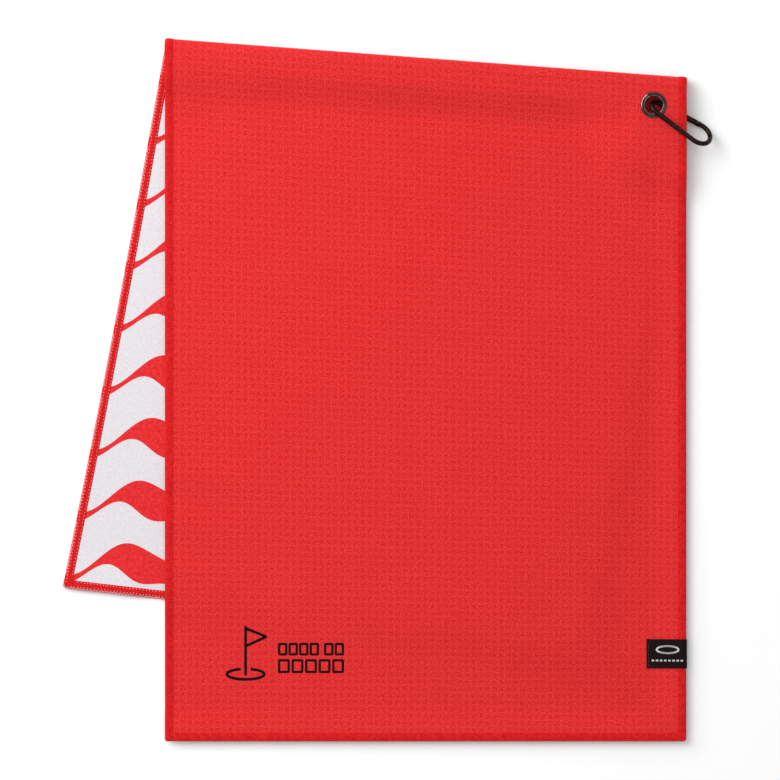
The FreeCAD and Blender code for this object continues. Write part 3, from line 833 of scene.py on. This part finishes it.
def edge_rings(outline):
    """Rings along an open outline with rounded corners: (arc centre, outward, inward, run)."""
    rings, run = [], 0.0
    step = STITCH_PITCH / STITCH_STEPS
    for k in range(len(outline) - 1):
        start, end = outline[k], outline[k + 1]
        within = inward(start, end)
        along = unit(end - start)
        before = CORNER_RADIUS if k > 0 else 0.0
        after = CORNER_RADIUS if k < len(outline) - 2 else 0.0
        length = np.linalg.norm(end - start) - before - after
        count = max(2, round(length / step))
        for n in range(count + 1):
            edge = start + along * (before + length * n / count)
            rings.append((edge + within * CORNER_RADIUS, -within, within, run + length * n / count))
        run += length
        if k < len(outline) - 2:
            turned = inward(end, outline[k + 2])
            mitre = (within + turned) / (1 + within @ turned)
            for n in range(1, CORNER_STEPS):
                out = -unit(within * (1 - n / CORNER_STEPS) + turned * n / CORNER_STEPS)
                rings.append((end + mitre * CORNER_RADIUS, out, mitre, run))
                run += CORNER_RADIUS * math.pi / 2 / CORNER_STEPS
    return rings


def binding_section(run):
    """The closed section at that distance along the edge, with its overlock loops."""
    phase = 2 * math.pi * run / STITCH_PITCH
    loop = 0.5 + 0.5 * math.cos(phase)
    upper = []
    for d, h in BINDING_SECTION:
        near_edge = math.exp(-d / LOOP_DEPTH)
        rise = h + THREAD_RELIEF * (loop - 1) + LOOP_RELIEF * near_edge * (loop - 1)
        upper.append((d + LOOP_RELIEF * near_edge * (1 - loop) * 0.6, max(rise, 0.0)))
    lower = [(d, -h) for d, h in reversed(upper[:-1])]
    return upper + lower


def tube(name, rings, material, runs):
    """A closed mesh from rings of points, with caps, that knows its distance along the edge."""
    count = len(rings[0])
    obj = new_object(name, np.concatenate(rings), tube_faces(len(rings), count), [material])
    store(obj, "run", np.repeat(runs, count)[:, None] * [1, 0, 0])
    return obj


def panel_binding(body, corners, height_at, nodes, material):
    """Binding down the left side, along the free end and up the right side of a panel."""
    a, b, c, d = corners
    rings, runs = [], []
    for centre, out, within, run in edge_rings([d, a, b, c]):
        points = np.array([
            centre + out * max(0.0, CORNER_RADIUS - depth)
            + within * max(0.0, depth - CORNER_RADIUS) + UP * height
            for depth, height in binding_section(run)
        ])
        points[:, 2] += height_at(points[:, 0], points[:, 1])
        rings.append(points)
        runs.append(run)
    obj = tube(body + "_binding", rings, material, runs)
    if body == "back":
        bow(obj)
    cleaned(obj, merge=0.004 * MM)
    rides(obj, body, "binding", *nodes)


def fold_binding(name, x, direction, nodes, material):
    """Binding round the fold, at the edge above x. direction is 1 where inwards is along it."""
    edge = fold_at(x) + UP * FOLD_POINT[2]
    rings, runs = [], []
    for n in range(FOLD_STEPS + 1):
        turn = math.pi * n / FOLD_STEPS
        place, outwards = round_fold(turn)
        run = turn * FOLD_RADIUS
        rings.append(np.array([
            edge + FOLD_ALONG * direction * depth + place + outwards * height
            for depth, height in binding_section(run)
        ]))
        runs.append(run)
    obj = tube(name, rings, material, runs)
    cleaned(obj)
    blend_round_fold(obj, *nodes)


def thread_bead(size, place, along, across, normal):
    """Points of one short stitch lying on the cloth."""
    length, width, rise = size
    points = []
    for share, swell in STITCH_SWELL:
        for k in range(THREAD_SIDES):
            turn = 2 * math.pi * k / THREAD_SIDES
            points.append(place + along * length * share
                          + across * width / 2 * swell * math.cos(turn)
                          + normal * rise * swell * math.sin(turn))
    return points


def beads(name, size, places, material):
    """One piece of many stitches. Each place is (point, along, across, normal)."""
    points, faces = [], []
    bead_faces = tube_faces(len(STITCH_SWELL), THREAD_SIDES)
    for place in places:
        faces += [[len(points) + k for k in face] for face in bead_faces]
        points += thread_bead(size, *place)
    return cleaned(new_object(name, points, faces, [material], math.pi))


def section_height(depth):
    depths, heights = zip(*reversed(BINDING_SECTION))
    return float(np.interp(depth, depths, heights))


def panel_threads(name, corners, height_at, side, rows, body, material):
    """Rows of stitches on one face of a panel's binding. side is 1 for the upper face."""
    a, b, c, d = corners
    random = np.random.default_rng(SEED + 3)
    places = []
    for start, end in ((d, a), (a, b), (b, c)):
        within, along = inward(start, end), unit(end - start)
        length = np.linalg.norm(end - start)
        for row in rows:
            run = 2 * row
            while run < length - 2 * row:
                point = start + along * run + within * (row + random.normal(0, ROW_WANDER))
                height = height_at(point[0], point[1])
                point = point + UP * (height + side * (section_height(row) - STITCH_SUNK))
                lean = unit(along + within * random.normal(STITCH_LEAN, LEAN_SPREAD))
                places.append((point, lean, np.cross(UP, lean), UP * side))
                run += STITCH_PITCH * random.uniform(PITCH_LEAST, PITCH_MOST)
    obj = beads(name, HEM_STITCH, places, material)
    if body == "back":
        bow(obj)
    rides(obj, body, "binding")


# ---- eyelet

def eyelet(plating):
    """The grommet's outer half: flange rolled over at both edges, barrel and lower lip."""
    # Brighter plating on the rims: rubbed metal that also stands in as painted highlight rings.
    rubbed = metal("rubbed_nickel_and_painted_highlight", (0.16, 0.11, 0.10, 1), (0.27, 0.20, 0.185, 1),
                   0.10, 0.20, 0.5 * MM)
    low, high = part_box("grommet_flange")
    centre = np.array([(low.x + high.x) / 2, (low.y + high.y) / 2, high.z])
    rings = []
    for n in range(EYELET_SIDES):
        turn = 2 * math.pi * n / EYELET_SIDES
        out = np.array([math.cos(turn), math.sin(turn), 0.0])
        rings.append(np.array([centre + (out * r + UP * h) * MM for r, h in EYELET_SECTION]))
    count = len(EYELET_SECTION)
    faces = ring_faces(EYELET_SIDES, count, closed=True)
    obj = new_object("grommet_eyelet", np.concatenate(rings), faces, [plating, rubbed])
    for number, face in enumerate(obj.data.polygons):
        face.material_index = int(number % count in EYELET_RUBBED_AND_HIGHLIT)
    cleaned(obj)
    rides(obj, "front", "black_nickel", "grommet_flange")


# ---- printing

def two_sides(points, width):
    """The left and right sides of a ribbon of that width along points in plan."""
    left, right = [], []
    for k, point in enumerate(points):
        before, after = points[max(k - 1, 0)], points[min(k + 1, len(points) - 1)]
        way = Vector((after[0] - before[0], after[1] - before[1])).normalized()
        side = Vector((-way.y, way.x)) * width / 2
        left.append((point[0] + side.x, point[1] + side.y))
        right.append((point[0] - side.x, point[1] - side.y))
    return left, right


def walked(points):
    """The same path with a point at every print step."""
    path = []
    for start, end in zip(points, points[1:]):
        start, end = Vector(start), Vector(end)
        count = max(1, round((end - start).length / PRINT_STEP))
        path += [tuple(start.lerp(end, n / count)) for n in range(count)]
    return path + [tuple(points[-1])]


def ribbon(points, width):
    """Quads of a ribbon along a path, two across."""
    left, right = two_sides(walked(points), width)
    middle = [((a[0] + b[0]) / 2, (a[1] + b[1]) / 2) for a, b in zip(left, right)]
    quads = []
    for k in range(len(left) - 1):
        quads.append((right[k], right[k + 1], middle[k + 1], middle[k]))
        quads.append((middle[k], middle[k + 1], left[k + 1], left[k]))
    return quads


def box_outline(x, y, width, height):
    """A closed path that starts half way along the box's foot, which is at x and y."""
    right, top, middle = x + width, y + height, x + width / 2
    return [(middle, y), (right, y), (right, top), (x, top), (x, y), (middle, y)]


def ellipse(x, y, across, up, start, end):
    """Points of an ellipse of those half sizes, from start to end in degrees."""
    steps = ELLIPSE_STEPS
    turns = [math.radians(start + (end - start) * n / steps) for n in range(steps + 1)]
    return [(x + across * math.cos(t), y + up * math.sin(t)) for t in turns]


def printed_mark(cloth, material):
    """A golf flag over a hole, and two rows of plain boxes beside it."""
    x, y, tall = LEFT_X + FLAG_X, BOTTOM_Y + FLAG_Y, FLAG_HEIGHT
    pole = [(x, y + POLE_FOOT * tall), (x, y + tall)]
    tip = (x + FLAG_TIP[0] * tall, y + FLAG_TIP[1] * tall)
    flag = [(x, y + FLAG_TOP * tall), tip, (x, y + FLAG_LOW * tall)]
    hole = ellipse(x, y + HOLE_UP * tall, HOLE_SIZE[0] * tall, HOLE_SIZE[1] * tall,
                   HOLE_FROM, HOLE_TO)
    quads = []
    for path in (pole, flag, hole):
        quads += ribbon(path, PRINT_STROKE)
    for foot, height, width, starts in BOX_ROWS:
        for start in starts:
            left, low = LEFT_X + BOXES_X + start * MM, BOTTOM_Y + foot * MM
            quads += ribbon(box_outline(left, low, width * MM, height * MM), BOX_STROKE)
    top_of = height_over(cloth)
    points, faces = [], []
    for quad in quads:
        faces.append([len(points) + k for k in range(4)])
        points += [(px, py, top_of(px, py) + PRINT_RISE) for px, py in quad]
    obj = new_object("printed_flag_and_boxes", points, faces, [material])
    cleaned(obj, merge=0.01 * MM)
    rides(obj, "front", "label_tape")


# ---- label

def label_path(middle_at, start):
    """The tape's inner face in cross-section, from its upper end round the edge to below."""
    face = CLOTH / 2 + LABEL_GAP
    tops = [(start + (RIGHT_X - LABEL_BEND - start) * n / 8, face) for n in range(9)]
    tops += [(RIGHT_X - depth, height + LABEL_GAP) for depth, height in BINDING_SECTION[1:-1]]
    tops.append((RIGHT_X + LABEL_EDGE_GAP, 0.0))
    lows = [(x, -z) for x, z in reversed(tops[:-1])]
    return [Vector((x, z + middle_at(x))) for x, z in tops + lows]


def woven_label(surface, tape_material, mark_material):
    """Black tape folded round the edge, with its pale woven mark."""
    low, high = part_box("woven_label")

    def middle_at(x):
        return float(surface.at(x, (low.y + high.y) / 2))

    inner = label_path(middle_at, low.x)
    outer, _ = two_sides(inner, 2 * LABEL_TAPE)
    section = outer + list(reversed(inner))
    rings = []
    for n in range(LABEL_STATIONS + 1):
        share = n / LABEL_STATIONS
        y = low.y + (high.y - low.y) * share
        edge = min(share, 1 - share)
        puff = LABEL_PUFF * math.exp(-edge * LABEL_PUFF_FADE)
        rings.append(np.array([
            (x, y, z + (puff if z > middle_at(x) else -puff)) for x, z in section
        ]))
    obj = tube("woven_label_tape", rings, tape_material, [0.0] * len(rings))
    cleaned(obj)
    rides(obj, "front", "label_tape", "woven_label")
    label_mark(low, high, height_over(obj), mark_material)


def label_mark(low, high, top_of, material):
    """Raised pale threads: a wide ring over a row of dashes."""
    x, y = low.x + MARK_X, (low.y + high.y) / 2
    paths = [(ellipse(x, y + RING_UP, *RING_SIZE, 0, 360), RING_STITCHES)]
    for n in range(DASHES):
        start = x + DASH_PITCH * n - DASHES_LEFT
        dash = [(start, y - DASHES_DOWN), (start + DASH_LENGTH, y - DASHES_DOWN)]
        paths.append((dash, DASH_STITCHES))
    places = []
    for path, count in paths:
        for n in range(count):
            at = n / count * (len(path) - 1)
            k = min(int(at), len(path) - 2)
            a, b = Vector(path[k]), Vector(path[k + 1])
            point = a.lerp(b, at - k)
            way = np.array([*(b - a).normalized(), 0.0])
            place = np.array([*point, top_of(*point)])
            places.append((place, np.cross(UP, way), way, UP))
    obj = beads("label_woven_mark", MARK_STITCH, places, material)
    rides(obj, "front", "label_thread")


def islands(node):
    """The vertices of each separate piece of a CAD node, as arrays of places."""
    work = bmesh.new()
    work.from_mesh(frame["nodes"][node].data)
    left, found = set(work.verts), []
    for vertex in work.verts:
        if vertex not in left:
            continue
        island, queue = [], [vertex]
        left.remove(vertex)
        while queue:
            here = queue.pop()
            island.append(here.co)
            near = {edge.other_vert(here) for edge in here.link_edges} & left
            left -= near
            queue += near
        found.append(np.array(island))
    work.free()
    return found


def label_stitches(material):
    """Stitches where the CAD's are, as rounded thread."""
    places = []
    for points in islands("label_stitching"):
        low, high = points.min(0), points.max(0)
        centre = (low + high) / 2
        centre[2] = low[2] - 0.02 * MM
        lies_across = high[0] - low[0] > high[1] - low[1]
        along = np.array([1.0, 0, 0]) if lies_across else np.array([0, 1.0, 0])
        places.append((centre, along, np.cross(UP, along), UP))
    unique = {tuple(np.round(p[0], 5)): p for p in places}
    obj = beads("label_stitches", LABEL_STITCH, list(unique.values()), material)
    rides(obj, "front", "label_thread", "label_stitching")


# ---- stage

def camera():
    data = bpy.data.cameras.new("camera")
    data.lens, data.sensor_width = CAMERA_LENS, CAMERA_SENSOR
    data.clip_end = 50.0
    obj = in_scene("camera", data)
    distance = VIEW_WIDTH * CAMERA_LENS / CAMERA_SENSOR
    obj.location = VIEW_CENTRE + Vector((0, 0, distance))
    bpy.context.scene.camera = obj


def area_light(name, azimuth, elevation, distance, size, power):
    """A square lamp that faces the object."""
    data = bpy.data.lights.new(name, "AREA")
    data.shape = "SQUARE"
    data.size, data.energy = size, power
    obj = in_scene(name, data)
    turn, tilt = math.radians(azimuth), math.radians(elevation)
    level = math.cos(tilt)
    way = Vector((math.cos(turn) * level, math.sin(turn) * level, math.sin(tilt)))
    obj.location = way * distance
    obj.rotation_euler = way.to_track_quat("Z", "Y").to_euler()


def floor():
    material, tree, principled = shader("white_floor", Roughness=0.9, Specular_IOR_Level=0.1)
    grain = speckle(tree, object_place(tree), 30.0)
    tone = mixed(tree, grain, (0.96, 0.96, 0.96, 1), (0.98, 0.98, 0.98, 1))
    connect(tree, principled, Base_Color=tone)
    half = FLOOR_HALF
    corners = [(-half, -half, 0), (half, -half, 0), (half, half, 0), (-half, half, 0)]
    obj = new_object("floor", corners, [(0, 1, 2, 3)], [material])
    obj.location.z = -FLOOR_GAP


def world():
    background = bpy.data.worlds.new("studio")
    background.use_nodes = True
    shade = background.node_tree.nodes["Background"]
    shade.inputs["Color"].default_value = (1, 1, 1, 1)
    shade.inputs["Strength"].default_value = SKY_STRENGTH
    bpy.context.scene.world = background


def stage():
    scene = bpy.context.scene
    scene.view_settings.view_transform = "Standard"
    scene.view_settings.look = "None"
    camera()
    floor()
    world()
    for name, values in LAMPS.items():
        area_light(name, *values)


# ---- the towel

def build():
    red, printed, binding = red_cloth(), printed_cloth(), binding_cloth()
    pale = thread("pale_thread", (0.80, 0.26, 0.27, 1), (0.93, 0.58, 0.58, 1))
    red_thread = thread("red_thread", (0.42, 0.006, 0.008, 1), (0.58, 0.014, 0.016, 1))
    dark = thread("black_thread", (0.006, 0.005, 0.005, 1), (0.03, 0.027, 0.025, 1))
    grey = thread("grey_thread", (0.42, 0.41, 0.40, 1), (0.75, 0.74, 0.72, 1))
    surface = FrontSurface()
    faces = [red, printed]
    cloth = front_cloth(surface, faces)
    fold_cloth(faces)
    back_cloth(faces)

    hems = ["front_left_hem", "front_left_hem_rise", "front_bottom_hem",
            "front_right_hem", "front_right_hem_rise"]
    panel_binding("front", FRONT_CORNERS, surface.at, hems, binding)
    hems = ["back_left_hem", "back_end_hem", "back_right_hem"]
    panel_binding("back", BACK_CORNERS, back_height, hems, binding)
    fold_binding("fold_left_binding", LEFT_X, 1, ["fold_left_hem"], binding)
    fold_binding("fold_right_binding", RIGHT_X, -1, ["fold_right_hem"], binding)
    panels = [("front", FRONT_CORNERS, surface.at, 1), ("back", BACK_CORNERS, back_height, -1)]
    for body, corners, height_at, side in panels:
        panel_threads(body + "_binding_red_threads", corners, height_at, side,
                      RED_ROWS, body, red_thread)
        panel_threads(body + "_binding_threads", corners, height_at, -side,
                      PALE_ROWS, body, pale)
    printed_mark(cloth, ink())
    woven_label(surface, tape(), grey)
    label_stitches(dark)
    plating = metals()
    eyelet(plating["grommet_washer"])
    for node, material in plating.items():
        for slot in frame["nodes"][node].material_slots:
            slot.material = material


build()
stage()
